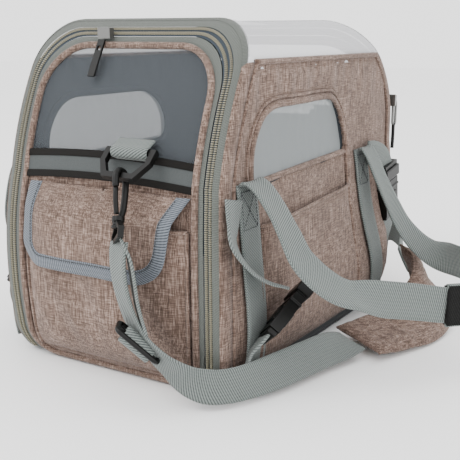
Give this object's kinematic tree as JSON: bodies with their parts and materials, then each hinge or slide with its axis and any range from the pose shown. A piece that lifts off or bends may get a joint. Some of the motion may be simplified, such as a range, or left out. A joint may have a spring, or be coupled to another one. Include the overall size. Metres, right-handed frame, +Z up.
{
  "type": "pet carrier bag",
  "caption": "Soft-sided pet carrier with drop-down mesh end doors, side windows, flap pocket, webbing handles, side-release buckles and a padded shoulder strap",
  "frame": {"origin": "centre of the base's underside, on the surface the bag stands on", "axes": "+Z up, -Y out of the front door, +X to the side that carries the shoulder strap"},
  "size_m": [0.4538, 0.4908, 0.302],
  "materials": {
    "brown_fabric": "melange woven polyester, matt",
    "webbing": "ribbed grey webbing",
    "tape": "grey zip tape and binding",
    "base_grey": "dark grey coated base cloth",
    "board": "stiff board, matt",
    "lining": "soft grey fleece",
    "mesh": "fine see-through net",
    "reflective": "grey reflective tape",
    "black_plastic": "moulded, low sheen",
    "zip_metal": "gunmetal zip slider",
    "grip": "black padded grip wrap"
  },
  "bodies": {
    "root": {"base_panel": "base_grey", "base_board": "board", "side_panel_right": "brown_fabric", "side_window_right": "mesh", "side_pocket_right": "brown_fabric", "webbing_front_right": "webbing", "webbing_rear_right": "webbing", "buckle_socket_front_right": "black_plastic", "buckle_socket_rear_right": "black_plastic", "side_panel_left": "brown_fabric", "side_window_left": "mesh", "side_pocket_left": "brown_fabric", "webbing_front_left": "webbing", "webbing_rear_left": "webbing", "buckle_socket_front_left": "black_plastic", "buckle_socket_rear_left": "black_plastic", "front_hoop": "tape", "rear_hoop": "tape", "top_window": "mesh", "strap_side": "webbing", "shoulder_pad": "brown_fabric", "strap_rear_side": "webbing"},
    "floor_mat": {"floor_mat": "lining"},
    "front_door": {"front_door_panel": "brown_fabric", "front_door_window": "mesh", "front_door_band": "reflective", "front_door_frame": "tape", "front_ring_keeper": "webbing", "cargo_pocket": "brown_fabric", "strap_front": "webbing"},
    "rear_door": {"rear_door_panel": "brown_fabric", "rear_door_window": "mesh", "rear_door_band": "reflective", "rear_door_frame": "tape", "rear_ring_keeper": "webbing", "strap_rear": "webbing"},
    "pocket_flap": {"pocket_flap": "brown_fabric"},
    "tri_glide": {"tri_glide": "black_plastic"},
    "front_d_ring": {"front_d_ring": "black_plastic"},
    "front_snap_hook": {"front_snap_hook": "black_plastic"},
    "front_hook_gate": {"front_hook_gate": "black_plastic"},
    "front_hook_eye": {"front_hook_eye": "black_plastic"},
    "rear_d_ring": {"rear_d_ring": "black_plastic"},
    "rear_snap_hook": {"rear_snap_hook": "black_plastic"},
    "rear_hook_gate": {"rear_hook_gate": "black_plastic"},
    "rear_hook_eye": {"rear_hook_eye": "black_plastic"},
    "handle_right": {"handle_right_front": "webbing", "handle_right_rear": "webbing", "handle_right_grip": "grip"},
    "buckle_plug_front_right": {"buckle_plug_front_right": "black_plastic"},
    "buckle_plug_rear_right": {"buckle_plug_rear_right": "black_plastic"},
    "handle_left": {"handle_left_front": "webbing", "handle_left_rear": "webbing", "handle_left_grip": "grip"},
    "buckle_plug_front_left": {"buckle_plug_front_left": "black_plastic"},
    "buckle_plug_rear_left": {"buckle_plug_rear_left": "black_plastic"},
    "rear_zip_slider": {"rear_zip_slider": "zip_metal"},
    "rear_zip_pull": {"rear_zip_pull": "black_plastic"},
    "front_zip_slider": {"front_zip_slider": "zip_metal"},
    "front_zip_pull": {"front_zip_pull": "black_plastic"}
  },
  "joints": [
    {"name": "front_door", "type": "hinge", "parent": "root", "child": "front_door", "pos_m": [0, -0.16752, 0.008], "axis": [1, 0, 0], "range_deg": [0, 70]},
    {"name": "rear_door", "type": "hinge", "parent": "root", "child": "rear_door", "pos_m": [0, 0.16485, 0.008], "axis": [-1, 0, 0], "range_deg": [0, 70]},
    {"name": "pocket_flap", "type": "hinge", "parent": "front_door", "child": "pocket_flap", "pos_m": [0, -0.17246, 0.166], "axis": [-1, 0, 0], "range_deg": [0, 90], "deforming": ["strap_front"]},
    {"name": "front_d_ring", "type": "hinge", "parent": "front_door", "child": "front_d_ring", "pos_m": [0.03, -0.1713, 0.197], "axis": [-1, 0, 0], "range_deg": [0, 90]},
    {"name": "front_snap_hook", "type": "hinge", "parent": "front_d_ring", "child": "front_snap_hook", "pos_m": [0.032, -0.18827, 0.18003], "axis": [-1, 0, 0], "range_deg": [0, 20]},
    {"name": "front_hook_gate", "type": "hinge", "parent": "front_snap_hook", "child": "front_hook_gate", "pos_m": [0.03707, -0.20729, 0.1569], "axis": [-1, 0, 0], "range_deg": [0, 12], "stiffness_Nm_per_rad": 0.05},
    {"name": "front_hook_eye", "type": "hinge", "parent": "front_snap_hook", "child": "front_hook_eye", "pos_m": [0.03945, -0.20255, 0.14696], "axis": [-0.213, 0.4079, 0.8878], "range_deg": [-15, 15]},
    {"name": "rear_d_ring", "type": "hinge", "parent": "rear_door", "child": "rear_d_ring", "pos_m": [0.03, 0.208, 0.197], "axis": [1, 0, 0], "range_deg": [0, 60], "deforming": ["strap_rear"]},
    {"name": "rear_snap_hook", "type": "hinge", "parent": "rear_d_ring", "child": "rear_snap_hook", "pos_m": [0.032, 0.22497, 0.18003], "axis": [1, 0, 0], "range_deg": [0, 20]},
    {"name": "rear_hook_gate", "type": "hinge", "parent": "rear_snap_hook", "child": "rear_hook_gate", "pos_m": [0.03707, 0.24399, 0.1569], "axis": [1, 0, 0], "range_deg": [0, 12], "stiffness_Nm_per_rad": 0.05},
    {"name": "rear_hook_eye", "type": "hinge", "parent": "rear_snap_hook", "child": "rear_hook_eye", "pos_m": [0.03945, 0.23925, 0.14696], "axis": [-0.213, -0.4079, 0.8878], "range_deg": [-15, 15]},
    {"name": "tri_glide", "type": "slide", "parent": "front_door", "child": "tri_glide", "axis": [-0.4504, -0.0601, 0.8908], "range_m": [-0.004, 0.012]},
    {"name": "handle_right", "type": "hinge", "parent": "root", "child": "handle_right", "pos_m": [0.1156, 0, 0.1744], "axis": [0, -1, 0], "range_deg": [0, 95]},
    {"name": "buckle_plug_front_right", "type": "slide", "parent": "root", "child": "buckle_plug_front_right", "axis": [0.2094, 0.8027, 0.5584], "range_m": [0, 0.03]},
    {"name": "buckle_plug_rear_right", "type": "slide", "parent": "root", "child": "buckle_plug_rear_right", "axis": [0, -0.1571, 0.9876], "range_m": [0, 0.02]},
    {"name": "handle_left", "type": "hinge", "parent": "root", "child": "handle_left", "pos_m": [-0.1156, 0, 0.1744], "axis": [0, 1, 0], "range_deg": [0, 120]},
    {"name": "buckle_plug_front_left", "type": "slide", "parent": "root", "child": "buckle_plug_front_left", "axis": [-0.2094, 0.8027, 0.5584], "range_m": [0, 0.03]},
    {"name": "buckle_plug_rear_left", "type": "slide", "parent": "root", "child": "buckle_plug_rear_left", "axis": [0, -0.1571, 0.9876], "range_m": [0, 0.02]},
    {"name": "floor_mat", "type": "slide", "parent": "root", "child": "floor_mat", "axis": [0, 0, 1], "range_m": [0, 0.12]},
    {"name": "rear_zip_slider", "type": "slide", "parent": "root", "child": "rear_zip_slider", "axis": [0, 0.0252, -0.9997], "range_m": [-0.01, 0.09]},
    {"name": "rear_zip_pull", "type": "hinge", "parent": "rear_zip_slider", "child": "rear_zip_pull", "pos_m": [0.0995, 0.20799, 0.21], "axis": [1, 0, 0], "range_deg": [0, 120]},
    {"name": "front_zip_slider", "type": "slide", "parent": "root", "child": "front_zip_slider", "axis": [1, 0, 0], "range_m": [-0.035, 0.09]},
    {"name": "front_zip_pull", "type": "hinge", "parent": "front_zip_slider", "child": "front_zip_pull", "pos_m": [-0.03, -0.13013, 0.283], "axis": [-1, 0, 0], "range_deg": [0, 100]}
  ],
  "couplings": [
    {"joint": "front_d_ring", "follows": "pocket_flap", "ratio": 1}
  ]
}
